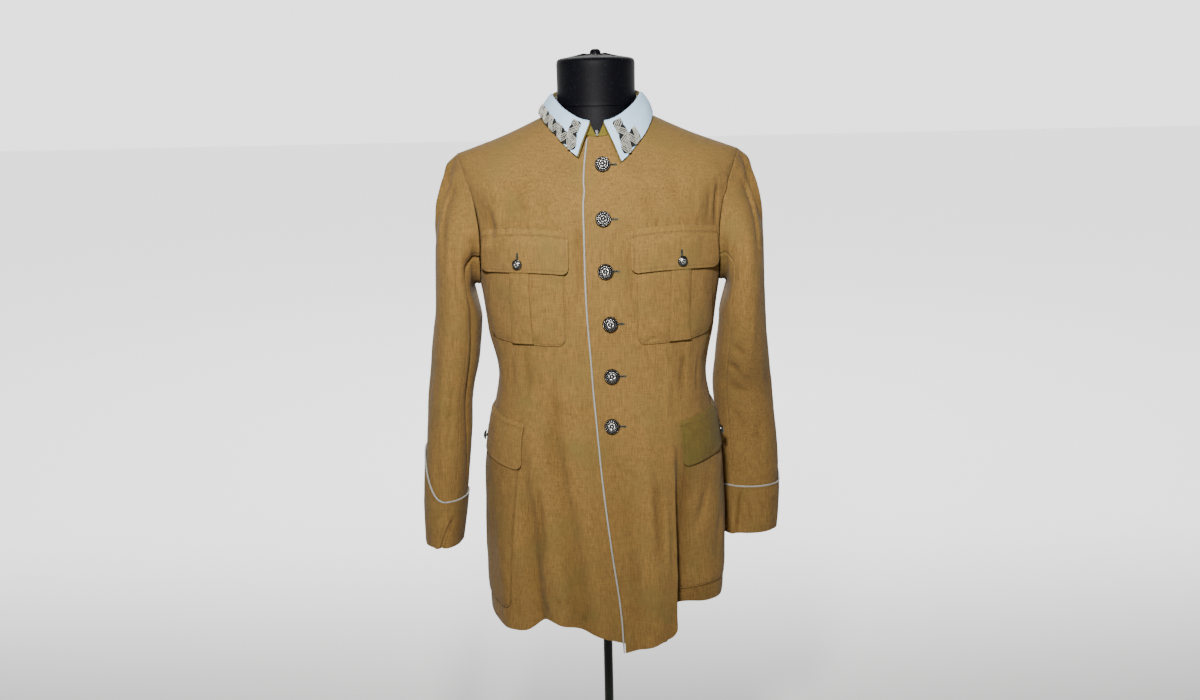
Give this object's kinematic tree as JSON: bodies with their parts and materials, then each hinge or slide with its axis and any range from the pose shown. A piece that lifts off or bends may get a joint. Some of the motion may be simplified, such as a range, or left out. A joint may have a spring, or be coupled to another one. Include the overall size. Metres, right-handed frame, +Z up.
{
  "type": "military officer jacket on dress form",
  "caption": "High-collared wool officer's jacket with flapped pockets and domed buttons, worn on a black limbless dress form that stands on a pole and a round base.",
  "frame": {"origin": "centre of the underside of the round base, on the floor, under the pole", "axes": "+Z up along the pole; -Y is the way the wearer faces; +X is the wearer's left"},
  "size_m": [0.6265, 0.38, 1.5664],
  "materials": {
    "wool": "matt khaki wool cloth, faintly napped",
    "patch": "matt pale blue facing cloth",
    "braid": "silver-grey metal thread embroidery",
    "piping": "light grey corded cloth",
    "button_metal": "aged silver, dark in its hollows",
    "hook_metal": "bent bright wire",
    "jersey": "stretched black jersey with a faint sheen",
    "stand_paint": "dark green-black paint, satin"
  },
  "bodies": {
    "root": {"front_left": "wool", "front_right": "wool", "back_left": "wool", "back_right": "wool", "sleeve_left": "wool", "sleeve_right": "wool", "cuff_left": "wool", "cuff_right": "wool", "collar_stand": "wool", "collar_fall": "wool", "breast_pocket_left": "wool", "breast_pleat_left": "wool", "breast_flap_left": "wool", "hip_pocket_left": "wool", "hip_flap_left": "wool", "breast_pocket_right": "wool", "breast_pleat_right": "wool", "breast_flap_right": "wool", "hip_pocket_right": "wool", "hip_flap_right": "wool", "collar_patch_left": "patch", "collar_patch_right": "patch", "collar_braid_left": "braid", "collar_braid_right": "braid", "front_piping": "piping", "cuff_piping_left": "piping", "cuff_piping_right": "piping", "button_front_1": "button_metal", "button_front_2": "button_metal", "button_front_3": "button_metal", "button_front_4": "button_metal", "button_front_5": "button_metal", "button_front_6": "button_metal", "button_breast_left": "button_metal", "button_hip_left": "button_metal", "button_breast_right": "button_metal", "button_hip_right": "button_metal", "collar_hook": "hook_metal", "form_torso": "jersey", "form_neck": "jersey", "form_knob": "jersey", "form_socket": "stand_paint", "pole": "stand_paint", "base": "stand_paint"}
  },
  "joints": []
}
